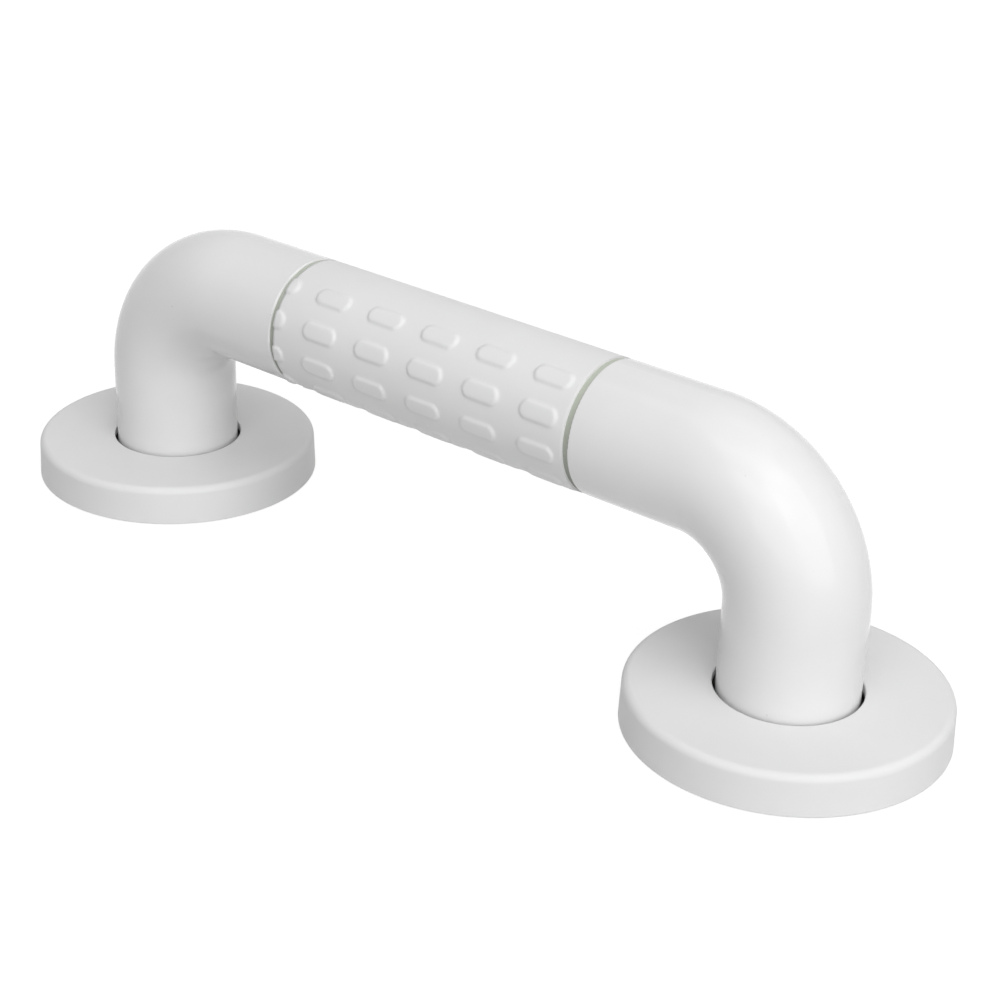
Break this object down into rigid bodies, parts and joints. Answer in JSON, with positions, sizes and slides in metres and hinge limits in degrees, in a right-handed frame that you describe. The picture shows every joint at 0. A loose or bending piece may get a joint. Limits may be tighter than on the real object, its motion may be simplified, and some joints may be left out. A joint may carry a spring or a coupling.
{
  "type": "grab bar",
  "caption": "Short wall grab bar: white moulded elbows and bumpy grip sleeve over a steel core, pale luminous rings, round sliding covers over screw-down flange plates.",
  "frame": {"origin": "on the wall plane, midway between the two flanges; the flanges' flat backs lie in the plane Z = 0", "axes": "+X along the bar, +Z out of the wall towards the user, +Y across the bar"},
  "size_m": [0.292, 0.08, 0.0777],
  "materials": {
    "sleeve_plastic": "white moulded plastic, satin gloss, with raised obround bumps",
    "elbow_plastic": "white moulded plastic, satin gloss",
    "cover_plastic": "white moulded plastic, satin",
    "luminous_plastic": "pale greenish grey luminous plastic",
    "tube_steel": "stainless steel, drawn",
    "plate_steel": "stainless steel, stamped",
    "screw_steel": "stainless steel"
  },
  "bodies": {
    "bar": {"grip_sleeve": "sleeve_plastic", "glow_ring_left": "luminous_plastic", "glow_ring_right": "luminous_plastic", "elbow_left": "elbow_plastic", "elbow_right": "elbow_plastic", "core_tube": "tube_steel", "bracket_tube_left": "tube_steel", "bracket_tube_right": "tube_steel", "spigot_left": "tube_steel", "spigot_right": "tube_steel", "flange_plate_left": "plate_steel", "flange_plate_right": "plate_steel", "lock_screw_left": "screw_steel", "lock_screw_right": "screw_steel"},
    "left_cover": {"flange_cover_left": "cover_plastic"},
    "right_cover": {"flange_cover_right": "cover_plastic"}
  },
  "joints": [
    {"name": "left_cover_slide", "type": "slide", "parent": "bar", "child": "left_cover", "axis": [0, 0, 1], "range_m": [0, 0.02]},
    {"name": "right_cover_slide", "type": "slide", "parent": "bar", "child": "right_cover", "axis": [0, 0, 1], "range_m": [0, 0.02]}
  ]
}
